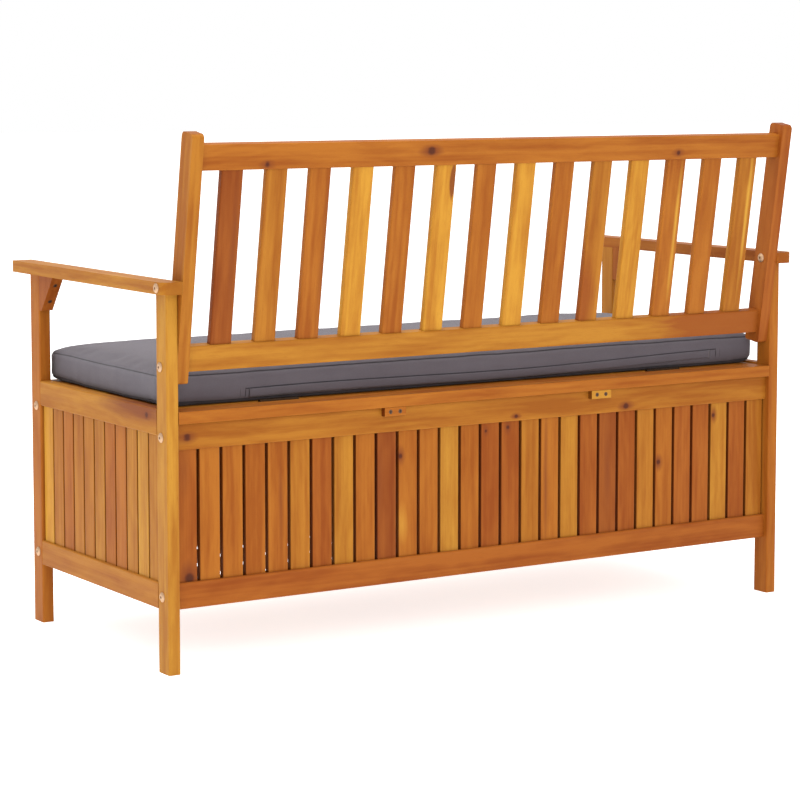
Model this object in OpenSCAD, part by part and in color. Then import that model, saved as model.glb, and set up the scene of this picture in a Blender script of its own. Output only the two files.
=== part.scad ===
// Garden storage bench: slatted box with a hinged, cushioned seat lid, armrests and a leaning backrest.
// Millimetres. +Z is up, the front faces -Y, "left" and "right" are seen from the front.
// Origin: centre of the bench's outline, on the ground.

/* [Overall] */
// Width over the outer faces of the legs
frame_w = 1200; // [960:10:1500]
// Depth over the legs, front face to rear face
frame_d = 490; // [400:5:620]
// Height of the seat surface, the top of the lid boards
seat_h = 403; // [330:1:500]
// Height of the arm tops
arm_h = 602; // [540:1:720]
// Height of the top of the backrest
back_h = 827; // [760:1:1000]

/* [Timber] */
// Thickness of legs, rails and stiles
timber_t = 20; // [16:0.5:26]
// Width of legs, stiles and arms
timber_w = 35; // [28:1:46]
// Height of the box rails
rail_h = 41; // [32:1:55]
// Thickness of lid boards and rear seat board
board_t = 19; // [15:0.5:25]
// Radius of the eased long edges
ease = 2.5; // [1:0.5:4]

/* [Box panels] */
// Height of the underside of the lowest rails
panel_z = 98; // [60:1:140]
// Step from the leg faces back to the front and rear panels
panel_inset = 10; // [4:1:14]
// Rise of the side top rails above the seat surface
side_rise = 3; // [0:0.5:6]
// Width of a panel slat
slat_w = 35; // [24:0.5:48]
// Intended gap between panel slats, evened out to fill each panel
slat_gap = 4.5; // [4:0.5:14]
// Thickness of a panel slat
slat_t = 10; // [8:0.5:12]
// Depth of the rail grooves that hold the slat ends
groove_deep = 8; // [5:0.5:12]
// Clearance on each face of a slat in its groove
slat_fit = 0.2; // [0.1:0.05:0.4]

/* [Floor] */
// Number of floor slats
floor_slats_n = 15; // [9:2:19]
// Gap between the inner faces of the legs and the outermost floor slats
floor_end = 58.5; // [5:0.5:80]
// Thickness of a floor slat
floor_t = 11; // [8:0.5:15]
// Side of the square cleats that carry the floor slats
cleat_s = 15; // [12:1:20]

/* [Arms] */
// Thickness of an arm
arm_t = 19; // [16:0.5:25]
// Overhang of an arm in front of the front leg
arm_front = 37; // [15:1:60]
// Overhang of an arm behind the rear leg
arm_rear = 18; // [14:1:30]
// Radius of the arm's rear outer corner
arm_corner = 15; // [6:1:20]
// Length of an arm brace along the arm
brace_top = 55; // [40:1:80]
// Height of an arm brace
brace_h = 60; // [40:1:80]
// Length of an arm brace at its foot
brace_foot = 9; // [6:1:14]

/* [Backrest] */
// Lean of the backrest from upright, degrees
lean = 9; // [4:0.5:12]
// Distance of the stiles' centre line in front of the rear leg faces, at arm height
back_set = 1; // [0:0.5:8]
// Height of the feet of the stiles above the seat surface
stile_rise = 43; // [30:1:60]
// Radius of the rounded stile tops
stile_top_r = 8; // [3:1:14]
// Height of the backrest rails
back_rail_h = 40; // [30:1:55]
// Distance from a rail to the end of the stile
back_rail_end = 17; // [10:1:30]
// Number of backrest slats
back_slats_n = 14; // [9:1:16]
// Width of a backrest slat
back_slat_w = 37; // [28:1:50]
// Thickness of a backrest slat
back_slat_t = 12; // [9:0.5:16]

/* [Lid] */
// Depth of the fixed board behind the lid
rear_board_d = 45; // [41:1:60]
// Number of lid boards
lid_boards_n = 6; // [4:1:8]
// Gap between two lid boards
lid_gap = 4; // [2:0.5:8]
// Gap between the lid and the frame at each side
lid_side_gap = 1.5; // [1:0.5:4]
// Width of a lid batten
batten_w = 45; // [30:1:70]
// Thickness of a lid batten
batten_t = 20; // [15:1:25]

/* [Hinges] */
// Distance of each hinge from the middle
hinge_x = 380; // [200:5:420]
// Length of a hinge
hinge_l = 70; // [50:1:100]
// Thickness of the hinge leaves
leaf_t = 1.2; // [1:0.1:1.4]
// Height of the hinge leaves below the pin
leaf_h = 16; // [13:0.5:17]
// Gap between the lid and the rear board, which holds both leaves
hinge_gap = 3; // [3:0.1:4]
// Outer diameter of the hinge knuckles
knuckle_d = 6.5; // [6:0.1:8]
// Diameter of the hinge pins
pin_d = 3; // [2.5:0.1:3.5]
// Radial running clearance of the pins in the lid knuckles
pin_fit = 0.05; // [0.02:0.01:0.1]

/* [Cushion] */
// Distance of the cushion from each side edge of the lid
cushion_side = 3.5; // [2:0.5:60]
// Distance of the cushion's front edge behind the front leg faces
cushion_front = 7; // [0:1:60]
// Distance of the cushion's rear edge in front of the hinge pins
cushion_back = 4; // [4:0.5:30]
// Thickness of the seat cushion
cushion_t = 51; // [30:1:70]
// Corner radius of the cushion in plan
cushion_r = 16; // [10:1:60]
// Clearance under the cushion
cushion_fit = 0.3; // [0.2:0.1:1]

/* [Hardware] */
// Shank diameter of the frame bolts
bolt_d = 6; // [5:0.5:8]
// Flange diameter of the bolt heads
bolt_head = 15; // [12:0.5:17]
// Height of the bolt heads
bolt_head_h = 3; // [2:0.5:5]
// Across-flats size of the hex sockets
hex_af = 4; // [3:0.5:5]
// Extra diameter of the bolt holes
hole_fit = 0.5; // [0.3:0.1:1]
// Diameter of the barrel nuts
nut_d = 10; // [8:0.5:12]
// Distance of the barrel nuts from the rail ends
nut_set = 28; // [20:1:40]
// Shank diameter of the wood screws
screw_d = 3.5; // [3:0.1:4.5]
// Head diameter of the wood screws
screw_head = 7; // [6:0.5:8.5]
// Diameter of the wooden dowels
dowel_d = 8; // [6:1:10]
// Depth of a dowel in each of the two pieces it joins
dowel_half = 15; // [10:1:16]

/* [Hidden] */
$fn = 48;

honey = "#c9852f";
amber = "#b9702c";
russet = "#a45a2a";
zinc = "#c8c9c6";
charcoal = "#5c5a5f";

half_w = frame_w / 2;
half_d = frame_d / 2;
inner_x = half_w - timber_t;          // inner faces of the legs and side panels
clear_w = 2 * inner_x;                // length of the front and rear rails
clear_d = frame_d - 2 * timber_w;     // length of the side rails
leg_h = arm_h - arm_t;
board_z = seat_h - board_t;           // underside of the lid boards, top of the front and rear rails
panel_face = half_d - panel_inset;    // outer faces of the front and rear rails
panel_back = panel_face - timber_t;   // their inner faces
side_rail_z = seat_h + side_rise - rail_h;
panel_mid = panel_face - timber_t / 2;
rail_mid_top = board_z - rail_h / 2;
rail_mid_low = panel_z + rail_h / 2;
long_slats = round(clear_w / (slat_w + slat_gap));  // slats in the front panel and in the rear panel
side_slats = round(clear_d / (slat_w + slat_gap));  // slats in each side panel
floor_pitch = (clear_w - 2 * floor_end - slat_w) / (floor_slats_n - 1);

stile_foot = seat_h + stile_rise;
stile_c = half_d - back_set;          // stile centre line at arm height
half_tw = timber_w / 2;
top_forward = half_tw - stile_top_r;  // from a stile's centre line to the centres of its top's roundings
// Upper end of the stiles along their own length, so that their rounded tops reach back_h
stile_up = (back_h - arm_h - stile_top_r - top_forward * sin(lean)) / cos(lean) + stile_top_r;
stile_down = (stile_foot - arm_h) / cos(lean);
back_clear = clear_w - 2 * timber_t;
back_low = stile_down + back_rail_end;            // underside of the lower backrest rail
back_high = stile_up - back_rail_end - back_rail_h; // underside of the upper backrest rail
back_gap = (back_clear - back_slats_n * back_slat_w) / (back_slats_n + 1);

front_most = -half_d - arm_front;
rear_most = stile_c + (stile_up - stile_top_r) * sin(lean) + top_forward * cos(lean) + stile_top_r;
origin_y = -(front_most + rear_most) / 2;         // moves the leg centre so that the outline is centred

hinge_y = half_d - rear_board_d - hinge_gap / 2;  // hinge pin line
lid_rear = hinge_y - hinge_gap / 2;
lid_d = lid_rear + half_d;
lid_board_w = (lid_d - (lid_boards_n - 1) * lid_gap) / lid_boards_n;
lid_w = clear_w - 2 * lid_side_gap;
cushion_w = lid_w - 2 * cushion_side;
cushion_rear = hinge_y - cushion_back;
cushion_d = cushion_rear + half_d - cushion_front;
batten_clear = 4;                                 // batten ends to the front rail and to the hinge line

arm_w = timber_w;
arm_l = frame_d + arm_front + arm_rear;
arm_mid = arm_h - arm_t / 2;

brace_steep = atan2(brace_top - brace_foot, brace_h);  // sloping face from upright
knuckles = 5;                                     // knuckles of a hinge, 3 on the frame leaf
knuckle_gap = 0.3;
block_w = 40;                                     // blocks under the rear board
block_h = 14;
block_x = [-215, 193];
block_screw_gap = 18;
insert_d = 10;                                    // insert nuts in the stiles
insert_l = 14;
sleeve_d = 9;                                     // sleeve nuts on the arm bolts
sleeve_l = 14;
nut_l = timber_t * 0.7;
bolt_past = 6;                                    // bolt end beyond the middle of its barrel nut
screw_head_l = (screw_head - screw_d) / 2;

slat_foot = panel_z + rail_h - groove_deep;       // lower ends of the panel slats
slat_play = 1;                                    // room above a slat in its upper groove
back_slat_foot = back_low + back_rail_h - groove_deep;
floor_x = [for (i = [0 : floor_slats_n - 1]) (i - (floor_slats_n - 1) / 2) * floor_pitch];
batten_y = 2 * batten_clear - panel_back;
batten_l = lid_rear - batten_clear - batten_y;
batten_x = [for (i = [-1, 0, 1]) i * lid_w * 0.4];
brace_y = timber_w - half_d;
hinge_screw_l = 18;
stile_foot_r = 5;
knuckle_l = (hinge_l - (knuckles - 1) * knuckle_gap) / knuckles;

function back_slat_x(i) = (i - (back_slats_n + 1) / 2) * (back_slat_w + back_gap);
function knuckle_x(k) = k * (knuckle_l + knuckle_gap) - hinge_l / 2;
function lid_board_y(i) = i * (lid_board_w + lid_gap) - half_d;
// Lid screws stay clear of the front rail and of the hinge screws
function lid_screw_y(i) = min(max(lid_board_y(i) + lid_board_w / 2, batten_y + 14), lid_rear - 34);

// ---------- basic shapes ----------

// Rectangle with rounded corners, centred
module eased_rect(w, h, r) {
    square([w - 2 * r, h], center = true);
    square([w, h - 2 * r], center = true);
    for (sx = [-1, 1], sy = [-1, 1])
        translate([sx * (w / 2 - r), sy * (h / 2 - r)]) circle(r);
}

// Timber along X, centred on X = 0; y, z is the low corner of its section
module bar_x(l, y, z, w, h, r = ease)
    translate([-l / 2, y + w / 2, z + h / 2]) rotate([90, 0, 90]) linear_extrude(l) eased_rect(w, h, r);

// Timber along Y from y on; x, z is the low corner of its section
module bar_y(l, x, y, z, w, h, r = ease)
    translate([x + w / 2, y + l, z + h / 2]) rotate([90, 0, 0]) linear_extrude(l) eased_rect(w, h, r);

// Timber along Z from z up; x, y is the low corner of its section
module bar_z(l, x, y, z, w, d, r = ease)
    translate([x + w / 2, y + d / 2, z]) linear_extrude(l) eased_rect(w, d, r);

// Rod along X, from x towards the inside of the bench on side s
module rod_x(s, x, y, z, d, l)
    translate([s * x, y, z]) rotate([0, -90 * s, 0]) cylinder(d = d, h = l);

// Moves pieces drawn about the leg centre to the bench's own origin
module placed() translate([0, origin_y, 0]) children();

// Lays pieces drawn upright into the lean of the backrest; local Z = 0 is arm height
module leaning() placed() translate([0, stile_c, arm_h]) rotate([-lean, 0, 0]) children();

// ---------- hardware shapes ----------

// Flanged head with a hex socket, standing on the plane z = 0
module socket_head() difference() {
    union() {
        cylinder(d = bolt_head, h = bolt_head_h / 3);
        translate([0, 0, bolt_head_h / 3])
            cylinder(d1 = bolt_head, d2 = bolt_head * 0.6, h = bolt_head_h * 2 / 3);
    }
    translate([0, 0, bolt_head_h * 0.2]) cylinder(d = hex_af / cos(30), h = bolt_head_h, $fn = 6);
}

// Bolt with its head outside on side s, its shank running inwards
module bolt(s, x, y, z, l) {
    translate([s * x, y, z]) rotate([0, 90 * s, 0]) socket_head();
    rod_x(s, x, y, z, bolt_d, l);
}

// Countersunk wood screw, head flush with the plane z = 0, running down
module wood_screw(l) difference() {
    union() {
        translate([0, 0, -screw_head_l]) cylinder(d1 = screw_d, d2 = screw_head, h = screw_head_l);
        translate([0, 0, screw_d - l]) cylinder(d = screw_d, h = l - screw_d - screw_head_l);
        translate([0, 0, -l]) cylinder(d1 = screw_d * 0.2, d2 = screw_d, h = screw_d);
    }
    for (a = [0, 90]) rotate([0, 0, a])
        cube([screw_head * 0.55, screw_head * 0.13, screw_head * 0.4], center = true);
}

// Hole that a wood screw fills, open above the plane z = 0
module screw_hole(l) {
    translate([0, 0, -screw_head_l]) cylinder(d1 = screw_d, d2 = screw_head, h = screw_head_l);
    translate([0, 0, -l]) cylinder(d = screw_d, h = l);
    cylinder(d = screw_head, h = 2);
}

// A screw, or the hole for it
module screw_or_hole(l, hole) {
    if (hole) screw_hole(l); else wood_screw(l);
}

// Dowel along Z, centred
module dowel() cylinder(d = dowel_d, h = 2 * dowel_half, center = true);

// ---------- places that several pieces share ----------

// Where the panel rails meet the legs: [y, z]
panel_joints = [for (y = [-panel_mid, panel_mid], z = [rail_mid_low, rail_mid_top]) [y, z]];
low_dowel_z = rail_mid_low - (dowel_d + bolt_d + hole_fit) / 2 - 2;  // under the panel bolts
stile_bolt_z = stile_foot + 25;
stile_bolt_y = stile_c + (stile_bolt_z - arm_h) * tan(lean);
arm_bolt_y = stile_c + (arm_mid - arm_h) * tan(lean);

// Dowels between the side rails and the legs, and between the legs and the arm
module side_dowels(s) {
    x = s * (half_w - timber_t / 2);
    for (y = [-clear_d / 2, clear_d / 2], z = [side_rail_z + rail_h / 2, low_dowel_z])
        translate([x, y, z]) rotate([90, 0, 0]) dowel();
    for (y = [-half_d + half_tw, half_d - half_tw])
        translate([x, y, leg_h + arm_t * 0.6 - dowel_half]) dowel();
}

// Dowels between the backrest rails and a stile
module back_dowels(s)
    for (z = [back_low, back_high])
        translate([s * back_clear / 2, 0, z + back_rail_h / 2]) rotate([0, 90, 0]) dowel();

// Clearance holes for the bolts through the legs and into the rails, on side s
module bolt_holes(s) {
    for (p = panel_joints)
        rod_x(s, half_w + 1, p[0], p[1], bolt_d + hole_fit, timber_t + nut_set + bolt_past + 2);
    rod_x(s, half_w + 1, stile_bolt_y, stile_bolt_z, bolt_d + hole_fit, timber_t + 1);
}

// Socket of the insert nut and hole of the arm bolt in a stile, on side s
module stile_holes(s) {
    rod_x(s, inner_x + 1, stile_bolt_y, stile_bolt_z, insert_d, insert_l + 1);
    rod_x(s, inner_x + 1, arm_bolt_y, arm_mid, bolt_d + hole_fit, timber_t + 2);
    rod_x(s, back_clear / 2 + sleeve_l, arm_bolt_y, arm_mid, sleeve_d, sleeve_l + 1);
}

// ---------- legs ----------

// s is the side, -1 left or 1 right; e is the end, -1 front or 1 rear
module leg(s, e) placed() difference() {
    bar_z(leg_h, s * (half_w - timber_t / 2) - timber_t / 2, e * (half_d - half_tw) - half_tw, 0,
          timber_t, timber_w);
    bolt_holes(s);
    side_dowels(s);
    brace_screw_set(s, true);
}

module leg_front_left() color(amber) leg(-1, -1);
module leg_front_right() color(honey) leg(1, -1);
module leg_rear_left() color(amber) leg(-1, 1);
module leg_rear_right() color(honey) leg(1, 1);

// ---------- side panels ----------

// Rail between a front and a rear leg; its groove starts at groove_z
module side_rail(s, z, groove_z) placed() difference() {
    x = s * (half_w - timber_t / 2);
    bar_y(clear_d, x - timber_t / 2, -clear_d / 2, z, timber_t, rail_h);
    translate([x - slat_t / 2 - slat_fit, -clear_d / 2 - 1, groove_z])
        cube([slat_t + 2 * slat_fit, clear_d + 2, groove_deep + 1]);
    side_dowels(s);
}

module side_rail_top(s) side_rail(s, side_rail_z, side_rail_z - 1);
module side_rail_bottom(s) side_rail(s, panel_z, slat_foot);

module side_rail_top_left() color(honey) side_rail_top(-1);
module side_rail_top_right() color(honey) side_rail_top(1);
module side_rail_bottom_left() color(amber) side_rail_bottom(-1);
module side_rail_bottom_right() color(amber) side_rail_bottom(1);

module side_slat_row(s) placed()
    for (i = [0 : side_slats - 1])
        bar_z(side_rail_z + groove_deep - slat_play - slat_foot, s * (half_w - timber_t / 2) - slat_t / 2,
              (i + 0.5) * clear_d / side_slats - (clear_d + slat_w) / 2, slat_foot, slat_t, slat_w, ease / 2);

module side_slats_left() color(russet) side_slat_row(-1);
module side_slats_right() color(russet) side_slat_row(1);

// ---------- front and rear panels ----------

// Rail along the front, e = -1, or the rear, e = 1, with its groove and the holes for bolts and barrel nuts
module panel_rail(e, z, groove_z) placed() difference() {
    bar_x(clear_w, e * panel_mid - timber_t / 2, z, timber_t, rail_h);
    translate([-clear_w / 2 - 1, e * panel_mid - slat_t / 2 - slat_fit, groove_z])
        cube([clear_w + 2, slat_t + 2 * slat_fit, groove_deep + 1]);
    for (s = [-1, 1]) {
        bolt_holes(s);
        translate([s * (inner_x - nut_set), e * (panel_mid + nut_l / 2), z + rail_h / 2])
            rotate([90 * e, 0, 0]) cylinder(d = nut_d, h = timber_t);
    }
    block_screw_set(true);
}

module panel_rail_top(e) panel_rail(e, board_z - rail_h, board_z - rail_h - 1);
module panel_rail_bottom(e) panel_rail(e, panel_z, slat_foot);

module front_rail_top() color(honey) panel_rail_top(-1);
module front_rail_bottom() color(amber) panel_rail_bottom(-1);
module rear_rail_top() color(honey) panel_rail_top(1);
module rear_rail_bottom() color(amber) panel_rail_bottom(1);

module long_slat_row(e) placed()
    for (i = [0 : long_slats - 1])
        bar_z(board_z - rail_h + groove_deep - slat_play - slat_foot,
              (i + 0.5) * clear_w / long_slats - (clear_w + slat_w) / 2, e * panel_mid - slat_t / 2,
              slat_foot, slat_w, slat_t, ease / 2);

module front_slats() color(russet) long_slat_row(-1);
module rear_slats() color(russet) long_slat_row(1);

// ---------- floor of the box ----------

module floor_cleats() color(amber) placed() difference() {
    for (e = [-1, 1])
        bar_x(clear_w, e * (panel_back - cleat_s / 2) - cleat_s / 2, panel_z + floor_t, cleat_s, cleat_s, 1);
    floor_screw_set(true);
}

module floor_slats() color(honey) placed() difference() {
    for (x = floor_x)
        bar_y(2 * panel_back, x - slat_w / 2, -panel_back, panel_z, slat_w, floor_t, ease / 2);
    floor_screw_set(true);
}

// Screws driven up through the floor slats into the cleats
module floor_screw_set(hole)
    for (x = floor_x, e = [-1, 1])
        translate([x, e * (panel_back - cleat_s / 2), panel_z]) rotate([180, 0, 0])
            screw_or_hole(floor_t + cleat_s * 0.6, hole);

module floor_screws() color(zinc) placed() floor_screw_set(false);

// ---------- fixed seat board ----------

// Room for the hinge knuckles in the edges beside the pin line
module knuckle_room()
    for (s = [-1, 1])
        translate([s * hinge_x - hinge_l / 2 - 1, hinge_y, seat_h]) rotate([0, 90, 0])
            cylinder(d = knuckle_d + 1, h = hinge_l + 2);

module rear_seat_board() color(honey) placed() difference() {
    bar_x(clear_w, half_d - rear_board_d, board_z, rear_board_d, board_t, ease / 2);
    knuckle_room();
    hinge_screw_set(1, true);
}

module rear_board_blocks() color(amber) placed() difference() {
    for (x = block_x)
        translate([x, 0, 0]) bar_x(block_w, panel_face, board_z - block_h, panel_inset, block_h, 1);
    block_screw_set(true);
}

// Screws through the blocks into the rear top rail
module block_screw_set(hole)
    for (x = block_x, dx = [-block_screw_gap / 2, block_screw_gap / 2])
        translate([x + dx, half_d, board_z - block_h / 2]) rotate([-90, 0, 0])
            screw_or_hole(panel_inset + timber_t * 0.4, hole);

// ---------- arms ----------

// Plan of the right arm: X = 0 is its inner edge, Y = 0 its front end
module arm_outline() {
    r = arm_corner;
    difference() {
        translate([arm_w / 2, arm_l / 2]) eased_rect(arm_w, arm_l, ease);
        translate([arm_w - r, arm_l - r]) square(r + 1);
    }
    intersection() {
        translate([arm_w - r, arm_l - r]) circle(r);
        translate([arm_w - r, arm_l - r]) square(r + 1);
    }
}

module arm(s) placed() difference() {
    mirror([s > 0 ? 0 : 1, 0, 0]) translate([inner_x, front_most, leg_h]) linear_extrude(arm_t) arm_outline();
    side_dowels(s);
    rod_x(s, inner_x + arm_w + 1, arm_bolt_y, arm_mid, bolt_d + hole_fit, arm_w + 2);
    brace_screw_set(s, true);
}

module arm_left() color(honey) arm(-1);
module arm_right() color(honey) arm(1);

module arm_brace(s) placed() difference() {
    translate([s * (half_w - timber_t / 2) - timber_t / 2, brace_y, leg_h]) rotate([90, 0, 90])
        linear_extrude(timber_t)
            polygon([[0, 0], [brace_top, 0], [brace_foot, -brace_h], [0, -brace_h]]);
    brace_screw_set(s, true);
}

// Two screws square to the sloping face of a brace: the upper into the arm, the lower into the leg
module brace_screw_set(s, hole) {
    bite = 11;
    for (down = [0.28, 0.74]) {
        y = brace_top - (brace_top - brace_foot) * down;
        z = -brace_h * down;
        through = min(y / cos(brace_steep), -z / sin(brace_steep));
        translate([s * (half_w - timber_t / 2), brace_y + y, leg_h + z]) rotate([-90 - brace_steep, 0, 0])
            screw_or_hole(through + bite, hole);
    }
}

module arm_brace_left() color(russet) arm_brace(-1);
module arm_brace_right() color(russet) arm_brace(1);

// Screws of the arm braces and of the blocks under the rear board
module frame_screws() color(zinc) placed() {
    brace_screw_set(-1, false);
    brace_screw_set(1, false);
    block_screw_set(false);
}

// ---------- backrest ----------

// Side view of a stile in the leaning frame: X is its depth, Y runs up it
module stile_outline() {
    r = stile_top_r;
    l = stile_up - stile_down;
    translate([0, stile_down + (l - r) / 2]) eased_rect(timber_w, l - r, stile_foot_r);
    translate([0, stile_up - r - (stile_foot_r + 1) / 2]) square([timber_w, stile_foot_r + 1], center = true);
    translate([0, stile_up - r / 2]) square([timber_w - 2 * r, r], center = true);
    for (s = [-1, 1]) translate([s * (half_tw - r), stile_up - r]) circle(r);
}

module back_stile(s) difference() {
    leaning() difference() {
        translate([s * (inner_x - timber_t / 2) - timber_t / 2, 0, 0]) rotate([90, 0, 90])
            linear_extrude(timber_t) stile_outline();
        back_dowels(s);
    }
    placed() stile_holes(s);
}

module back_stile_left() color(honey) back_stile(-1);
module back_stile_right() color(amber) back_stile(1);

// Backrest rail with mortises for the slats; it starts at z and its mortises at mortise_z
module back_rail(z, mortise_z) leaning() difference() {
    bar_x(back_clear, -timber_t / 2, z, timber_t, back_rail_h);
    for (i = [1 : back_slats_n])
        translate([back_slat_x(i) - back_slat_w / 2 - slat_fit, -back_slat_t / 2 - slat_fit, mortise_z])
            cube([back_slat_w + 2 * slat_fit, back_slat_t + 2 * slat_fit, groove_deep + 1]);
    for (s = [-1, 1]) back_dowels(s);
}

module back_rail_top() color(amber) back_rail(back_high, back_high - 1);
module back_rail_bottom() color(honey) back_rail(back_low, back_slat_foot);

module back_slat(i) color(i % 3 == 0 ? honey : i % 3 == 1 ? amber : russet) leaning()
    bar_z(back_high + groove_deep - slat_play - back_slat_foot, back_slat_x(i) - back_slat_w / 2,
          -back_slat_t / 2, back_slat_foot, back_slat_w, back_slat_t, ease);

// ---------- lid ----------

module lid_boards() color(honey) placed() difference() {
    for (i = [0 : lid_boards_n - 1])
        bar_x(lid_w, lid_board_y(i), board_z, lid_board_w, board_t, ease);
    knuckle_room();
    hinge_screw_set(-1, true);
    lid_screw_set(true);
}

module lid_battens() color(amber) placed() difference() {
    for (x = batten_x)
        bar_y(batten_l, x - batten_w / 2, batten_y, board_z - batten_t, batten_w, batten_t, ease);
    lid_screw_set(true);
}

// Two screws up through a batten into each lid board
module lid_screw_set(hole)
    for (x = batten_x, i = [0 : lid_boards_n - 1], dx = [-batten_w / 4, batten_w / 4])
        translate([x + dx, lid_screw_y(i), board_z - batten_t]) rotate([180, 0, 0])
            screw_or_hole(batten_t + board_t * 0.6, hole);

module lid_screws() color(zinc) placed() lid_screw_set(false);

module seat_cushion() color(charcoal) placed()
    translate([0, cushion_rear - cushion_d / 2, seat_h + cushion_fit])
        linear_extrude(cushion_t) eased_rect(cushion_w, cushion_d, cushion_r);

// ---------- hinges ----------

// Leaf and knuckles of both hinges: e = 1 on the rear board, e = -1 on the lid.
// The frame leaf has the odd knuckles and grips the pin; the lid leaf turns on it.
module hinge_leaves(e) placed() for (s = [-1, 1]) translate([s * hinge_x, hinge_y, seat_h]) difference() {
    union() {
        translate([-hinge_l / 2, e > 0 ? hinge_gap / 2 - leaf_t : -hinge_gap / 2, -leaf_h])
            cube([hinge_l, leaf_t, leaf_h]);
        for (k = [0 : knuckles - 1]) if ((k % 2 == 0) == (e > 0))
            translate([knuckle_x(k), 0, 0]) rotate([0, 90, 0]) cylinder(d = knuckle_d, h = knuckle_l);
    }
    for (k = [0 : knuckles - 1]) if ((k % 2 == 0) != (e > 0))
        translate([knuckle_x(k) - knuckle_gap, 0, 0]) rotate([0, 90, 0])
            cylinder(d = knuckle_d + 2 * knuckle_gap, h = knuckle_l + 2 * knuckle_gap);
    translate([-hinge_l / 2 - 1, 0, 0]) rotate([0, 90, 0])
        cylinder(d = pin_d + (e > 0 ? 0 : 2 * pin_fit), h = hinge_l + 2);
    translate([0, -hinge_y, -seat_h]) hinge_screw_row(e, true);
}

module hinge_pins() color(zinc) placed()
    for (s = [-1, 1])
        translate([s * hinge_x - hinge_l / 2, hinge_y, seat_h]) rotate([0, 90, 0])
            cylinder(d = pin_d, h = hinge_l);

// Three screws of one hinge about X = 0, through the leaf into the edge of the board behind it
module hinge_screw_row(e, hole)
    for (x = [-1, 0, 1])
        translate([x * hinge_l * 0.34, hinge_y + e * (hinge_gap / 2 - leaf_t), seat_h - leaf_h * 0.62])
            rotate([90 * e, 0, 0]) screw_or_hole(hinge_screw_l, hole);

module hinge_screw_set(e, hole)
    for (s = [-1, 1]) translate([s * hinge_x, 0, 0]) hinge_screw_row(e, hole);

module hinge_leaves_frame() color(zinc) hinge_leaves(1);
module hinge_leaves_lid() color(zinc) hinge_leaves(-1);
module hinge_screws_frame() color(zinc) placed() hinge_screw_set(1, false);
module hinge_screws_lid() color(zinc) placed() hinge_screw_set(-1, false);

// ---------- frame hardware ----------

module panel_bolts() color(zinc) placed()
    for (s = [-1, 1], p = panel_joints) bolt(s, half_w, p[0], p[1], timber_t + nut_set + bolt_past);

module barrel_nuts() color(zinc) placed()
    for (s = [-1, 1], p = panel_joints) difference() {
        translate([s * (inner_x - nut_set), p[0], p[1]]) rotate([90, 0, 0])
            cylinder(d = nut_d, h = nut_l, center = true);
        rod_x(s, half_w, p[0], p[1], bolt_d, timber_t + nut_set + bolt_past);
    }

module stile_bolts() color(zinc) placed()
    for (s = [-1, 1]) bolt(s, half_w, stile_bolt_y, stile_bolt_z, timber_t + insert_l - 1);

module insert_nuts() color(zinc) placed()
    for (s = [-1, 1]) difference() {
        rod_x(s, inner_x, stile_bolt_y, stile_bolt_z, insert_d, insert_l);
        rod_x(s, half_w, stile_bolt_y, stile_bolt_z, bolt_d, timber_t + insert_l - 1);
    }

arm_bolt_l = arm_w + timber_t - 4;
module arm_bolts() color(zinc) placed()
    for (s = [-1, 1]) bolt(s, inner_x + arm_w, arm_bolt_y, arm_mid, arm_bolt_l);

// Sleeve nuts on the inner faces of the stiles, headed like the bolts they receive
module sleeve_nuts() color(zinc) placed()
    for (s = [-1, 1]) difference() {
        union() {
            translate([s * back_clear / 2, arm_bolt_y, arm_mid]) rotate([0, -90 * s, 0]) socket_head();
            rod_x(s, back_clear / 2 + sleeve_l, arm_bolt_y, arm_mid, sleeve_d, sleeve_l);
        }
        rod_x(s, inner_x + arm_w, arm_bolt_y, arm_mid, bolt_d, arm_bolt_l);
    }

module dowels() color(amber) {
    placed() for (s = [-1, 1]) side_dowels(s);
    leaning() for (s = [-1, 1]) back_dowels(s);
}

leg_front_left();
leg_front_right();
leg_rear_left();
leg_rear_right();
side_rail_top_left();
side_rail_top_right();
side_rail_bottom_left();
side_rail_bottom_right();
side_slats_left();
side_slats_right();
front_rail_top();
front_rail_bottom();
front_slats();
rear_rail_top();
rear_rail_bottom();
rear_slats();
floor_cleats();
floor_slats();
rear_seat_board();
rear_board_blocks();
arm_left();
arm_right();
arm_brace_left();
arm_brace_right();
back_stile_left();
back_stile_right();
back_rail_top();
back_rail_bottom();
back_slat(1);  // back_slat_1
back_slat(2);  // back_slat_2
back_slat(3);  // back_slat_3
back_slat(4);  // back_slat_4
back_slat(5);  // back_slat_5
back_slat(6);  // back_slat_6
back_slat(7);  // back_slat_7
back_slat(8);  // back_slat_8
back_slat(9);  // back_slat_9
back_slat(10);  // back_slat_10
back_slat(11);  // back_slat_11
back_slat(12);  // back_slat_12
back_slat(13);  // back_slat_13
back_slat(14);  // back_slat_14
lid_boards();
lid_battens();
seat_cushion();
hinge_leaves_frame();
hinge_leaves_lid();
hinge_pins();
hinge_screws_frame();
hinge_screws_lid();
panel_bolts();
barrel_nuts();
stile_bolts();
insert_nuts();
arm_bolts();
sleeve_nuts();
dowels();
frame_screws();
floor_screws();
lid_screws();
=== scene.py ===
"""Garden storage bench seen from behind: oiled acacia boards, zinc fittings and a boxed seat cushion."""
import math
import random

import bmesh
import bpy
from mathutils import Matrix, Vector, noise


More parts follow.
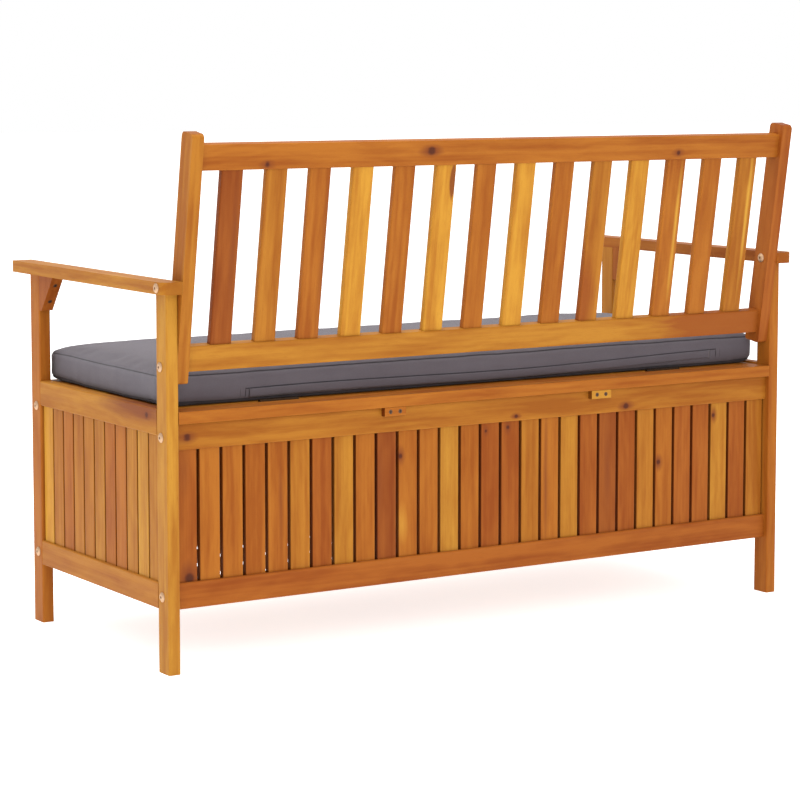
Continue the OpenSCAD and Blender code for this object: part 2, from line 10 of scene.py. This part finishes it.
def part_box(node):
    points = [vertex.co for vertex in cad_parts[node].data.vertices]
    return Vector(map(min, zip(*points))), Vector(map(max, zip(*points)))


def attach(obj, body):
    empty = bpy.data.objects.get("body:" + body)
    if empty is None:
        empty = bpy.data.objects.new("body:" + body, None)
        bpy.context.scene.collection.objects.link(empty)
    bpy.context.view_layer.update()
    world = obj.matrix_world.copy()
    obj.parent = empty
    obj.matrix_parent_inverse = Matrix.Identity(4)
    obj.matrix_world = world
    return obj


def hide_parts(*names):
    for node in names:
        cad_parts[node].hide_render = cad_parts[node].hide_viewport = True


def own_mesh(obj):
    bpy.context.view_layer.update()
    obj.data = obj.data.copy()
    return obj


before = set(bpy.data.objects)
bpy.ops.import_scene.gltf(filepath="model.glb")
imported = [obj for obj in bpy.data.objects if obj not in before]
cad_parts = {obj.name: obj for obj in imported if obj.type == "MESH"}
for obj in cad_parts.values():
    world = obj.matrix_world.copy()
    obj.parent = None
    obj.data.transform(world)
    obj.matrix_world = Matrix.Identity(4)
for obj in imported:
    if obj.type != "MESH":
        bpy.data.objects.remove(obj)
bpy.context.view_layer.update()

LEAN = math.radians(9)          # lean of the backrest
SLAT_W = 0.035                  # width of the panel slats
BACK_SLAT_W = 0.037             # width of the backrest slats
SHADED = 0.8                    # how far painted shade darkens the flanks between two panel slats


# ---------- shader helpers ----------

class Wire:
    """A node's output that works as a number: an expression on wires adds its Math nodes."""

    def __init__(self, tree, socket=None):
        self.tree = tree
        self.socket = socket

    def add(self, kind, settings=None, inputs=None, out=0):
        """Adds one node: its settings first, then the values or wires of its inputs."""
        node = self.tree.nodes.new("ShaderNode" + kind)
        for name, value in (settings or {}).items():
            if name == "stops":
                set_stops(node.color_ramp, value)
            else:
                setattr(node, name, value)
        for key, value in (inputs or {}).items():
            if isinstance(value, Wire):
                self.tree.links.new(value.socket, node.inputs[key])
            else:
                node.inputs[key].default_value = value
        return Wire(self.tree, node.outputs[out] if node.outputs else None)

    def math(self, operation, first, second=0.0):
        """One Math node."""
        return self.add("Math", {"operation": operation}, {0: first, 1: second})

    def __add__(self, other):
        return self.math("ADD", self, other)

    def __sub__(self, other):
        return self.math("SUBTRACT", self, other)

    def __rsub__(self, other):
        return self.math("SUBTRACT", other, self)

    def __mul__(self, other):
        return self.math("MULTIPLY", self, other)

    def __truediv__(self, other):
        return self.math("DIVIDE", self, other)

    def __pow__(self, other):
        return self.math("POWER", self, other)

    __radd__ = __add__
    __rmul__ = __mul__

    def clamp(self):
        return self.add("Clamp", None, {"Value": self})

    def sockets(self):
        """The three parts of a vector or colour."""
        node = self.tree.nodes.new("ShaderNodeSeparateXYZ")
        self.tree.links.new(self.socket, node.inputs[0])
        return [Wire(self.tree, part) for part in node.outputs]

    def noise(self, place, detail=2.0, roughness=0.5):
        """Even noise from 0 to 1 at a place given by three numbers."""
        vector = self.add("CombineXYZ", None, dict(enumerate(place)))
        return self.add("TexNoise", None, {"Vector": vector, "Scale": 1.0, "Detail": detail,
                                           "Roughness": roughness})

    def blend(self, share, first, second, how="MIX"):
        """Two colours mixed by share."""
        return self.add("Mix", {"data_type": "RGBA", "blend_type": how},
                        {0: share, 6: first, 7: second}, out=2)


def set_stops(ramp, stops):
    """Gives a colour ramp hard steps at (place, colour) stops."""
    ramp.interpolation = "CONSTANT"
    while len(ramp.elements) < len(stops):
        ramp.elements.new(0.5)
    for element, (place, colour) in zip(ramp.elements, stops):
        element.position = place
        element.color = colour


def paint(red, green, blue):
    """A colour as read off a paint chart, 0 to 255, in the renderer's linear light."""
    def linear(c):
        c /= 255
        return c / 12.92 if c <= 0.04045 else ((c + 0.055) / 1.055) ** 2.4
    return (linear(red), linear(green), linear(blue), 1.0)


def new_material(name):
    """An empty node material and a wire to build it with."""
    material = bpy.data.materials.new(name)
    material.use_nodes = True
    material.node_tree.nodes.clear()
    return material, Wire(material.node_tree)


def finish_material(wire, shader):
    """Joins a shader to the material's output."""
    wire.add("OutputMaterial", None, {"Surface": shader})


# ---------- acacia ----------

# Tones of single boards, lightest first
TONES = {
    "p": paint(188, 142, 50),
    "h": paint(178, 122, 39),
    "y": paint(168, 114, 38),
    "l": paint(161, 104, 32),
    "a": paint(156, 96, 29),
    "m": paint(152, 87, 26),
    "r": paint(144, 77, 24),
    "d": paint(131, 67, 22),
}
KNOT = paint(70, 34, 22)
HEARTWOOD = paint(112, 55, 24)
SAPWOOD = paint(186, 138, 52)
# How a board's tone is filtered where its grain is pale or dark and on sawn ends, and painted shade on the
# flanks between slats
EARLY_WOOD = (1.04, 1.13, 1.20, 1)
LATE_WOOD = (0.76, 0.65, 0.60, 1)
END_GRAIN = (0.86, 0.82, 0.80, 1)
SLAT_GAP_SHADE = (0.42, 0.30, 0.26, 1)


def row_of(node, axis, count, width):
    """Start and spacing of a row of equal boards along an axis: number = (place - start) / spacing."""
    low, high = (corner[axis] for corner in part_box(node))
    spacing = (high - low - width) / (count - 1)
    return low - (spacing - width) / 2, spacing


def acacia(name, grain, tones, seed, row=None, lean=0.0, marks=()):
    """Oiled acacia. grain is the axis that the boards run along, tones a letter for each board,
    row the (axis, start, spacing) of a row of boards, lean the angle by which they lean back, and
    marks the knots and patches from knot() and patch()."""
    material, w = new_material(name)
    place = w.add("TexCoord", out="Object")
    x, y, z = place.sockets()
    if lean:
        leant = w.add("Mapping", None, {"Vector": place, "Rotation": (lean, 0, 0)})
        x, y, z = leant.sockets()
    along, across, through = {"X": (x, z, y), "Y": (y, z, x), "Z": (z, x, y)}[grain]

    if row:
        row_axis, start, spacing = row
        board = w.math("FLOOR", ((x, y, z)[row_axis] - start) / spacing)
        dice = w.add("TexWhiteNoise", {"noise_dimensions": "1D"}, {"W": board + seed}, out="Color")
        roll_a, roll_b, roll_c = dice.sockets()
        stops = [(i / len(tones), TONES[t]) for i, t in enumerate(tones)]
        tone = w.add("ValToRGB", {"stops": stops}, {"Fac": (board + 0.5) / len(tones)})
    else:
        chance = random.Random(seed)
        roll_a, roll_b, roll_c = chance.random(), chance.random(), chance.random()
        tone = TONES[tones]

    a = along + roll_a * 7
    u = across + (roll_b * 0.09 - 0.045)
    v = through + (roll_c * 0.05 + 0.02)
    drift = w.noise((a * 1.6, u * 26, v * 26), 3.0, 0.55)
    cloud = w.noise((a * 7, u * 40 + drift, v * 40), 3.0, 0.55)
    bands = w.noise((a * 1.3 + cloud * 0.1, u * 120, v * 120), 2.0, 0.6)
    sway = w.noise((a * 3.4, u * 9, v * 9), 3.0)
    pith = (u * u + v * v) ** 0.5 + sway * 0.09
    rings = w.math("SINE", pith * 520) * 0.5 + 0.5
    streak = w.noise((a * 5, u * 190, v * 190), 3.0, 0.6)
    pores = w.noise((a * 60, u * 1500, v * 1500), 2.0, 0.6)

    dark_share = ((drift - 0.5) * 2.0 + (bands - 0.5) * 1.3 + (cloud - 0.5) * 2.2
                  + (rings - 0.5) * 0.20 + (streak - 0.5) * 0.8 + 0.45).clamp()
    light = w.blend(1.0, tone, EARLY_WOOD, "MULTIPLY")
    dark = w.blend(1.0, tone, LATE_WOOD, "MULTIPLY")
    colour = w.blend(dark_share, light, dark)
    fleck = ((pores - 0.56) * 5).clamp()
    colour = w.blend(fleck * 0.35, colour, HEARTWOOD)

    for axis, centre, height, half_l, half_h, mark, edge in marks:
        d_l = ((x, y, z)[axis] - centre) / half_l
        d_h = (z - height) / half_h
        away = (d_l * d_l + d_h * d_h) ** 0.5 + (streak - 0.5) * 0.6 + (cloud - 0.5) * 1.4
        colour = w.blend(((1 - away) * edge).clamp() * 0.9, colour, mark)

    normals = w.add("TexCoord", out="Normal").sockets()
    end_grain = ((w.math("ABSOLUTE", normals["XYZ".index(grain)]) - 0.75) * 4).clamp()
    colour = w.blend(end_grain * 0.7, colour, w.blend(1.0, dark, END_GRAIN, "MULTIPLY"))
    # painted shade: the flanks of two close panel slats are darkened where each slat shades the next
    if row and not lean:
        flank = ((w.math("ABSOLUTE", normals[row_axis]) - 0.5) * 2.5).clamp()
        colour = w.blend(flank * SHADED, colour, w.blend(1.0, dark, SLAT_GAP_SHADE, "MULTIPLY"))

    height = streak * 0.5 + rings * 0.15 + pores * 0.6
    bump = w.add("Bump", None, {"Height": height, "Strength": 0.35, "Distance": 0.0004})
    shader = w.add("BsdfPrincipled", None, {
        "Base Color": colour, "Roughness": 0.40 + streak * 0.16 + fleck * 0.1, "Normal": bump,
        "Specular IOR Level": 0.08})
    finish_material(w, shader)
    return material


def dress(material, *nodes):
    """Puts a material on CAD nodes."""
    for node in nodes:
        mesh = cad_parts[node].data
        mesh.materials.clear()
        mesh.materials.append(material)


def knot(place, height, size, along="Z", axis=0):
    """A knot in its darker halo, drawn out along the grain, for acacia's marks."""
    half_l, half_h = (1.9, 3.4) if along == "Z" else (3.0, 1.6)
    return [(axis, place, height, size * half_l, size * half_h, HEARTWOOD, 1.4),
            (axis, place, height, size, size, KNOT, 1.8)]


def patch(place, height, half_l, half_h, colour, edge=1.0, axis=0):
    """A soft oval patch of darker heartwood or paler sapwood, for acacia's marks."""
    return [(axis, place, height, half_l, half_h, colour, edge)]


def panel_wood():
    """The slat rows of the box."""
    start, spacing = row_of("rear_slats", 0, 29, SLAT_W)
    tones = "arlrrmardrlmarrmymmdmlrammmmr"
    figure = (knot(0.556, 0.144, 0.009) + knot(0.175, 0.302, 0.006)
              + knot(0.009, 0.330, 0.004) + knot(-0.035, 0.333, 0.005)
              + knot(-0.348, 0.250, 0.005) + knot(-0.467, 0.322, 0.005)
              + patch(0.172, 0.190, 0.013, 0.035, SAPWOOD, 0.5)
              + patch(0.215, 0.260, 0.012, 0.075, HEARTWOOD, 0.7)
              + patch(-0.112, 0.220, 0.006, 0.130, HEARTWOOD, 0.9)
              + patch(-0.240, 0.250, 0.008, 0.090, HEARTWOOD, 0.7)
              + patch(0.395, 0.250, 0.005, 0.120, HEARTWOOD, 0.8)
              + patch(0.565, 0.310, 0.012, 0.050, HEARTWOOD, 0.5))
    dress(acacia("acacia_rear_slats", "Z", tones, 11.0, (0, start, spacing), marks=figure), "rear_slats")
    dress(acacia("acacia_front_slats", "Z", tones[::-1], 61.0, (0, start, spacing)), "front_slats")
    start, spacing = row_of("side_slats_right", 1, 11, SLAT_W)
    dress(acacia("acacia_right_slats", "Z", "hamaalmmlyl", 23.0, (1, start, spacing)), "side_slats_right")
    dress(acacia("acacia_left_slats", "Z", "marlmrymrma", 37.0, (1, start, spacing)), "side_slats_left")
    start, spacing = row_of("floor_slats", 0, 15, SLAT_W)
    dress(acacia("acacia_floor_slats", "Y", "mamrlamarmalmra", 43.0, (0, start, spacing)), "floor_slats")


def backrest_wood():
    """The backrest: rails, stiles and its row of slats."""
    slats = [f"back_slat_{i}" for i in range(1, 15)]
    low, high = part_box(slats[0])[0].x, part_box(slats[-1])[1].x
    spacing = (high - low - BACK_SLAT_W) / 13
    start = low - (spacing - BACK_SLAT_W) / 2
    figure = (patch(0.103, 0.775, 0.008, 0.030, HEARTWOOD, 3.0)
              + patch(-0.175, 0.560, 0.026, 0.130, TONES["d"], 2.5)
              + patch(-0.012, 0.635, 0.010, 0.018, SAPWOOD, 0.6)
              + patch(0.330, 0.660, 0.009, 0.200, HEARTWOOD, 0.7)
              + patch(0.492, 0.700, 0.007, 0.160, HEARTWOOD, 0.7)
              + patch(-0.509, 0.690, 0.005, 0.160, SAPWOOD)
              + patch(-0.357, 0.690, 0.005, 0.160, SAPWOOD))
    material = acacia("acacia_back_slats", "Z", "ammhamhmhmhmad", 71.0, (0, start, spacing), LEAN, figure)
    dress(material, *slats)


BOARDS = {
    # node: grain, tone, seed, lean
    "leg_front_left": ("Z", "a", 1, 0),
    "leg_front_right": ("Z", "m", 2, 0),
    "leg_rear_left": ("Z", "m", 3, 0),
    "leg_rear_right": ("Z", "y", 4, 0),
    "side_rail_top_left": ("Y", "m", 5, 0),
    "side_rail_top_right": ("Y", "l", 6, 0),
    "side_rail_bottom_left": ("Y", "m", 7, 0),
    "side_rail_bottom_right": ("Y", "a", 8, 0),
    "front_rail_top": ("X", "a", 9, 0),
    "front_rail_bottom": ("X", "m", 10, 0),
    "rear_rail_top": ("X", "a", 11, 0),
    "rear_rail_bottom": ("X", "r", 12, 0),
    "floor_cleats": ("X", "m", 13, 0),
    "rear_seat_board": ("X", "m", 14, 0),
    "arm_left": ("Y", "m", 16, 0),
    "arm_right": ("Y", "l", 17, 0),
    "arm_brace_left": ("Z", "r", 18, 0),
    "arm_brace_right": ("Z", "r", 19, 0),
    "back_stile_left": ("Z", "r", 20, LEAN),
    "back_stile_right": ("Z", "a", 21, LEAN),
    "back_rail_top": ("X", "m", 22, 0),
    "back_rail_bottom": ("X", "l", 23, 0),
    "lid_battens": ("Y", "m", 24, 0),
}
MARKS = {
    "back_rail_top": (knot(0.445, 0.776, 0.0065, "X") + knot(0.150, 0.792, 0.008, "X")
                      + knot(-0.344, 0.779, 0.006, "X")),
    "back_rail_bottom": patch(-0.49, 0.475, 0.17, 0.20, TONES["d"], 2.5),
    "rear_rail_top": (knot(0.561, 0.363, 0.008, "X") + knot(-0.048, 0.351, 0.004, "X")
                      + knot(-0.274, 0.352, 0.0065, "X")),
    "side_rail_top_right": (patch(0.15, 0.400, 0.15, 0.027, HEARTWOOD, 1.5, axis=1)
                            + knot(0.170, 0.393, 0.007, "Y", axis=1)),
}


def board_wood():
    """Every single board, the lid's boards and the two blocks."""
    for node, (grain, tone, seed, lean) in BOARDS.items():
        dress(acacia("acacia_" + node, grain, tone, seed, lean=lean, marks=MARKS.get(node, ())), node)
    low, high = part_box("lid_boards")
    spacing = (high.y - low.y + 0.004) / 6
    dress(acacia("acacia_lid_boards", "X", "amlrma", 83.0, (1, low.y - 0.002, spacing)), "lid_boards")
    dress(acacia("acacia_blocks", "X", "ym", 90.0, (0, -0.42, 0.41)), "rear_board_blocks")


# ---------- metal ----------

def zinc(name, colour, roughness):
    """Plated or browned steel, a little blotched."""
    material, w = new_material(name)
    x, y, z = w.add("TexCoord", out="Object").sockets()
    cloud = w.noise((x * 400, y * 400, z * 400), 3.0)
    shine = w.noise((x * 2200, y * 2200, z * 2200), 1.0)
    tint = w.blend(cloud, colour, tuple(c * 1.35 for c in colour[:3]) + (1,))
    bump = w.add("Bump", None, {"Height": shine, "Strength": 0.15, "Distance": 0.0001})
    shader = w.add("BsdfPrincipled", None, {
        "Base Color": tint, "Roughness": roughness + cloud * 0.15, "Metallic": 1.0, "Normal": bump})
    finish_material(w, shader)
    return material


def metal_parts():
    """Bolts, nuts, screws and hinges, and the dowels."""
    plated = zinc("zinc_fittings", (0.44, 0.29, 0.18, 1), 0.45)
    dress(plated, "panel_bolts", "stile_bolts", "arm_bolts", "sleeve_nuts", "barrel_nuts", "insert_nuts")
    dress(zinc("browned_screws", (0.10, 0.06, 0.04, 1), 0.5), "frame_screws", "floor_screws", "lid_screws")
    # painted shade: the guessed hinges are browned nearly black so that they pass for the shadow under the
    # cushion's rear edge
    dress(zinc("hinges_darkened_as_shade", (0.045, 0.026, 0.015, 1), 0.5), "hinge_leaves_frame", "hinge_leaves_lid",
          "hinge_pins", "hinge_screws_frame", "hinge_screws_lid")
    dress(acacia("beech_dowels", "Z", "y", 95), "dowels")


# ---------- seat cushion ----------

CUSHION = "seat_cushion"
SLACK = 0.006                   # start shape inside the finished cushion, all round
SWELL = 0.009                   # furthest that the stuffing pushes the cover out
CORNER = 0.014                  # corner radius of the start shape
VOXEL = 0.007                   # mesh size of the cover before its last subdivision
STUFFING = 4                    # pressure of the stuffing
RIM = 0.002                     # start shape from the CAD top and underside
SEAM_IN = 0.003                 # seams from the rims of the side band
SEAM_DEPTH, SEAM_WIDTH = 0.0024, 0.0028
CROWN = 0.008                   # how far the top rises above its seam
CORNER_LIFT = 0.0045            # how far the lower corners curl up
CREASES, FOLDS = 0.0012, 0.0010  # depth of the side band's long and short creases
SHIFT = -0.003                  # the loose cushion lies a little to one side
SIDE_SWELL = 0.010              # how far the sides stand proud by the rear corners
REAR_SWELL = 0.0035             # how far the rear side stands proud at mid-height
ZIP_FROM, ZIP_TO = -0.487, 0.430
ZIP_Z = 0.4262                  # top edge of the zip's flap
ZIP_WAVE = 7.2                  # its waviness along its length, in radians
FLAP_H = 0.014                  # height of the flap
THREAD = paint(24, 21, 26)      # seam thread, zip, and painted shade along the flap's top edge and on the rim that lies on the boards


def edit(piece):
    """Makes piece the only selected object, in edit mode, with nothing selected in it."""
    bpy.ops.object.select_all(action="DESELECT")
    piece.select_set(True)
    bpy.context.view_layer.objects.active = piece
    bpy.ops.object.mode_set(mode="EDIT")
    bpy.ops.mesh.select_mode(type="EDGE")
    bpy.ops.mesh.select_all(action="DESELECT")
    return bmesh.from_edit_mesh(piece.data)


def select_edges(piece, wanted):
    """Selects the edges whose two ends satisfy wanted."""
    shape = edit(piece)
    for edge in shape.edges:
        edge.select_set(wanted(edge.verts[0].co, edge.verts[1].co))
    bmesh.update_edit_mesh(piece.data)


def block(name, low, high):
    """A box from low to high, its place in its mesh."""
    bpy.ops.object.select_all(action="DESELECT")
    bpy.ops.mesh.primitive_cube_add(size=1, location=(low + high) / 2)
    piece = bpy.context.object
    piece.name = name
    piece.scale = high - low
    bpy.ops.object.transform_apply(location=True, rotation=True, scale=True)
    return piece


def apply_modifiers(piece):
    """Applies all of a piece's modifiers, first to last."""
    bpy.ops.object.select_all(action="DESELECT")
    piece.select_set(True)
    bpy.context.view_layer.objects.active = piece
    for modifier in list(piece.modifiers):
        bpy.ops.object.modifier_apply(modifier=modifier.name)


def outline(place, low, high, radius):
    """How far outside a rounded outline a place lies, negative inside, and the way out from it."""
    half = (high - low) / 2
    off = place - (high + low) / 2
    over_x = abs(off.x) - half.x + radius
    over_y = abs(off.y) - half.y + radius
    if over_x > 0 and over_y > 0:
        gap, way = math.hypot(over_x, over_y), Vector((over_x, over_y, 0)).normalized()
    else:
        gap, way = max(over_x, over_y), Vector((over_x > over_y, over_x <= over_y, 0))
    return gap - radius, Vector((math.copysign(way.x, off.x), math.copysign(way.y, off.y), 0))


def fit_plan(pad, low, high):
    """Brings the stuffed cover back to its full length and depth."""
    places = [v.co for v in pad.data.vertices]
    for axis in (0, 1):
        least, most = min(co[axis] for co in places), max(co[axis] for co in places)
        for co in places:
            co[axis] = low[axis] + (co[axis] - least) * (high[axis] - low[axis]) / (most - least)


def stuff(pad):
    """Blows the cover up like a filled cushion, then limits how far each point went."""
    sewn = [v.co.copy() for v in pad.data.vertices]
    cloth = pad.modifiers.new("stuffing", "CLOTH")
    cloth.settings.use_pressure = True
    cloth.settings.uniform_pressure_force = STUFFING
    cloth.settings.effector_weights.gravity = 0
    for number in range(1, 21):
        bpy.context.scene.frame_set(number)
    apply_modifiers(pad)
    bpy.context.scene.frame_set(1)
    for vertex, start in zip(pad.data.vertices, sewn):
        step = vertex.co - start
        if step.length > 0:
            vertex.co = start + step * (SWELL * math.tanh(step.length / SWELL) / step.length)


def seat_cushion():
    """The boxed cushion: a rounded block, stuffed, with its seams sewn in."""
    low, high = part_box(CUSHION)
    start_low = low + Vector((SLACK, SLACK, RIM))
    start_high = high - Vector((SLACK, SLACK, RIM))
    pad = block("cushion", start_low, start_high)
    select_edges(pad, lambda a, b: abs(a.z - b.z) > 0.01)
    bpy.ops.mesh.bevel(offset=CORNER, segments=7)
    bpy.ops.object.mode_set(mode="OBJECT")
    select_edges(pad, lambda a, b: abs(a.z - b.z) < 0.001)
    bpy.ops.mesh.bevel(offset=0.004, segments=3)
    bpy.ops.object.mode_set(mode="OBJECT")
    pad.data.remesh_voxel_size = VOXEL
    bpy.ops.object.voxel_remesh()
    keep_places(pad)
    stuff(pad)
    fit_plan(pad, low, high)
    subdivide = pad.modifiers.new("finer", "SUBSURF")
    subdivide.levels = subdivide.render_levels = 1
    apply_modifiers(pad)
    sew(pad, low, high, start_low, start_high)
    bpy.ops.object.shade_smooth()
    return pad


def keep_places(piece):
    """Stores where each point of the cover was cut, so that seams and weave stay on the cloth."""
    keep = piece.data.attributes.new("sewn", "FLOAT_VECTOR", "POINT")
    for item, vertex in zip(keep.data, piece.data.vertices):
        item.vector = vertex.co


def sew(pad, low, high, start_low, start_high):
    """Pulls the seams in, crowns the top, lifts the lower corners and creases the side band."""
    seams = (start_low.z + SEAM_IN, start_high.z - SEAM_IN)
    mid, half = (low + high) / 2, (high - low) / 2
    for vertex, item in zip(pad.data.vertices, pad.data.attributes["sewn"].data):
        cut = Vector(item.vector)
        co = vertex.co
        gap, way_out = outline(cut, start_low, start_high, CORNER)
        u, v = (cut.x - mid.x) / half.x, (cut.y - mid.y) / half.y
        top = min(max(0.0, (cut.z - mid.z) / half.z) * 1.3, 1.0)
        pucker = 0.8 + 0.4 * noise.noise(cut * 60)
        off_rim = (gap + 0.001) ** 2
        pull = max(math.exp(-((cut.z - z) ** 2 + off_rim) / SEAM_WIDTH ** 2) for z in seams)
        crease = noise.noise(Vector((cut.x * 9, cut.y * 14, cut.z * 22)))
        fold = noise.noise(Vector((cut.x * 26, cut.y * 26, cut.z * 9)))
        side = math.exp(-max(0.0, -gap - 0.002) / 0.004)
        belly = max(0.0, 1 - ((cut.z - mid.z) / half.z) ** 2)
        co.x += SHIFT + SIDE_SWELL * u ** 9 * (1 + v) / 2
        co.y += REAR_SWELL * max(0.0, v) ** 9 * belly
        dent = SEAM_DEPTH * pull * pucker + side * (CREASES * abs(crease) + FOLDS * abs(fold))
        co -= way_out * dent
        co.z += top * (CROWN * (1 - abs(u) ** 7) * (1 - abs(v) ** 5) + 0.0014 * noise.noise(cut * 9)
                       + 0.0006 * noise.noise(Vector((cut.x * 30, cut.y * 8, 0))))
        corner = max(0.0, abs(u) - 0.90) * max(0.0, abs(v) - 0.4) * 16
        co.z = max(co.z + CORNER_LIFT * min(corner, 1) * (1 - top), low.z)


def zip_drop(share, cosine, cube):
    """How far the zip's line lies above ZIP_Z at a share of its length: it sags a little.
    cosine and cube are cos(share * ZIP_WAVE) and (1 - share) cubed, as numbers or wires."""
    return cosine * 0.0022 - share * 0.003 + cube * 0.0035


def zip_flap(pad):
    """The strip of cover that hangs over the zip on the rear side, with its two tacked ends."""
    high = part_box(CUSHION)[1]
    bpy.ops.object.select_all(action="DESELECT")
    bpy.ops.mesh.primitive_grid_add(x_subdivisions=180, y_subdivisions=6, size=1)
    flap = bpy.context.object
    flap.name = "cushion_zip_flap"
    flap.data.transform(Matrix.Diagonal((ZIP_TO - ZIP_FROM, FLAP_H, 1, 1)))
    flap.data.transform(Matrix.Rotation(math.radians(90), 4, "X"))
    flap.data.transform(Matrix.Translation(((ZIP_TO + ZIP_FROM) / 2, high.y + 0.02, ZIP_Z - FLAP_H / 2)))
    for vertex in flap.data.vertices:
        share = (vertex.co.x - ZIP_FROM) / (ZIP_TO - ZIP_FROM)
        vertex.co.z += zip_drop(share, math.cos(share * ZIP_WAVE), (1 - share) ** 3)
    wrap = flap.modifiers.new("lies_on_cover", "SHRINKWRAP")
    wrap.target = pad
    wrap.wrap_method = "PROJECT"
    wrap.use_project_y = True
    wrap.use_negative_direction = True
    wrap.use_positive_direction = True
    wrap.offset = 0.0003
    thick = flap.modifiers.new("folded_cloth", "SOLIDIFY")
    thick.thickness = 0.0013
    thick.offset = -1
    apply_modifiers(flap)
    keep_places(flap)
    bpy.ops.object.shade_smooth()
    return flap


def cover_cloth():
    """Dark grey woven polyester with stitched seams and the dark line of the zip, partly painted shade
    along the flap's top edge, and a painted contact shadow on the rim that lies on the boards.
    """
    material, w = new_material("grey_cover_cloth")
    x, y, z = w.add("Attribute", {"attribute_name": "sewn"}, out="Vector").sockets()
    low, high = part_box(CUSHION)
    weft = w.math("SINE", (x + y) * 5200)
    warp = w.math("SINE", (z + x - y) * 5200)
    slub = w.noise((x * 900, y * 900, z * 900), 2.0)
    cloud = w.noise((x * 14, y * 14, z * 30), 3.0)
    off_top = w.math("ABSOLUTE", z - (high.z - RIM - SEAM_IN))
    off_low = w.math("ABSOLUTE", z - (low.z + RIM + SEAM_IN))
    seam = (1.4 - w.math("MINIMUM", off_top, off_low) / 0.0009).clamp()
    # painted contact shadow: the bottom rim that lies on the boards is darkened towards the thread colour
    painted_rim_shadow = ((low.z + RIM + SEAM_IN - z) / 0.0015).clamp() * 0.75

    share = (x - ZIP_FROM) / (ZIP_TO - ZIP_FROM)
    rear = ((y - (high.y - 0.02)) * 1000).clamp()
    within = (0.5 - w.math("ABSOLUTE", share - 0.5)) * (ZIP_TO - ZIP_FROM)
    line = ZIP_Z + zip_drop(share, w.math("COSINE", share * ZIP_WAVE), (1 - share) ** 3)
    # partly painted shade: the dark line along the flap's top edge stands for the zip and for the shade
    # under that edge
    zip_shade_line = (1.5 - w.math("ABSOLUTE", z - line) / 0.0008).clamp() * (within * 1000 + 1).clamp()
    tack = (1.3 - w.math("ABSOLUTE", within) / 0.0009).clamp()
    box_end = (1.3 - w.math("ABSOLUTE", within + 0.009) / 0.0007).clamp() * 0.5
    band = (1.4 - w.math("ABSOLUTE", z - line + FLAP_H / 2) / (FLAP_H / 2)).clamp()
    dark_line = w.math("MAXIMUM", zip_shade_line, w.math("MAXIMUM", tack, box_end) * band) * rear

    base = w.blend(cloud, paint(78, 73, 80), paint(93, 88, 95))
    base = w.blend(slub * 0.35, base, paint(114, 109, 115))
    base = w.blend(w.math("MAXIMUM", seam * 0.85, dark_line * 0.85), base, THREAD)
    base = w.blend(painted_rim_shadow, base, THREAD)
    height = weft * warp * 0.4 + slub * 0.6 - seam * 2 - dark_line * 2
    bump = w.add("Bump", None, {"Height": height, "Strength": 0.4, "Distance": 0.0003})
    shader = w.add("BsdfPrincipled", None, {
        "Base Color": base, "Roughness": 0.80 + slub * 0.1, "Normal": bump,
        "Sheen Weight": 0.15, "Sheen Roughness": 0.5, "Specular IOR Level": 0.2})
    finish_material(w, shader)
    return material


def soft_goods():
    """The cushion and its zip flap, which ride on the lid."""
    pad = seat_cushion()
    flap = zip_flap(pad)
    cloth = cover_cloth()
    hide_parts(CUSHION)
    for piece in (pad, flap):
        piece.data.materials.clear()
        piece.data.materials.append(cloth)
        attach(piece, "lid")
        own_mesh(piece)


# ---------- camera, floor and light ----------

def camera():
    """Looks from behind, from the side of the right arm and a little from above."""
    data = bpy.data.cameras.new("camera")
    data.sensor_width = 36
    data.lens = 117.0
    data.shift_y = -0.1
    holder = bpy.data.objects.new("camera", data)
    bpy.context.scene.collection.objects.link(holder)
    turn, rise = math.radians(147.587), math.radians(5.536)
    back = Vector((math.sin(turn) * math.cos(rise), -math.cos(turn) * math.cos(rise), math.sin(rise)))
    holder.location = (2.3848, 3.7035, 0.9206)
    holder.rotation_euler = (-back).to_track_quat("-Z", "Y").to_euler()
    bpy.context.scene.camera = holder


def area_light(name, place, size, power, colour=(1, 1, 1)):
    """A square soft light that faces the seat."""
    data = bpy.data.lights.new(name, "AREA")
    data.shape = "SQUARE"
    data.size = size
    data.energy = power
    data.color = colour
    lamp = bpy.data.objects.new(name, data)
    bpy.context.scene.collection.objects.link(lamp)
    lamp.location = place
    lamp.rotation_euler = (Vector((0, 0, 0.4)) - Vector(place)).to_track_quat("-Z", "Y").to_euler()


def studio():
    """A pale floor, white surroundings and two soft lights."""
    bpy.ops.object.select_all(action="DESELECT")
    bpy.ops.mesh.primitive_plane_add(size=60, location=(0, 0, 0))
    floor = bpy.context.object
    floor.name = "floor"
    material, w = new_material("pale_floor")
    x, y, z = w.add("TexCoord", out="Object").sockets()
    soft = w.noise((x * 3, y * 3, z), 2.0)
    tint = w.blend(soft, (0.90, 0.90, 0.90, 1), (0.93, 0.93, 0.925, 1))
    finish_material(w, w.add("BsdfPrincipled", None, {
        "Base Color": tint, "Roughness": 0.9, "Specular IOR Level": 0.1,
        "Emission Color": (1, 1, 1, 1), "Emission Strength": 0.7}))
    floor.data.materials.append(material)
    world = bpy.data.worlds.new("white_studio")
    world.use_nodes = True
    world.node_tree.nodes["Background"].inputs[0].default_value = (1, 1, 1, 1)
    world.node_tree.nodes["Background"].inputs[1].default_value = 1.0
    bpy.context.scene.world = world
    area_light("top_light", (0.6, 0.2, 3.2), 2.4, 80)
    area_light("key_light", (1.6, 4.0, 2.2), 1.8, 45, (1, 0.98, 0.95))
    bpy.context.scene.view_settings.view_transform = "Standard"


panel_wood()
backrest_wood()
board_wood()
metal_parts()
soft_goods()
camera()
studio()
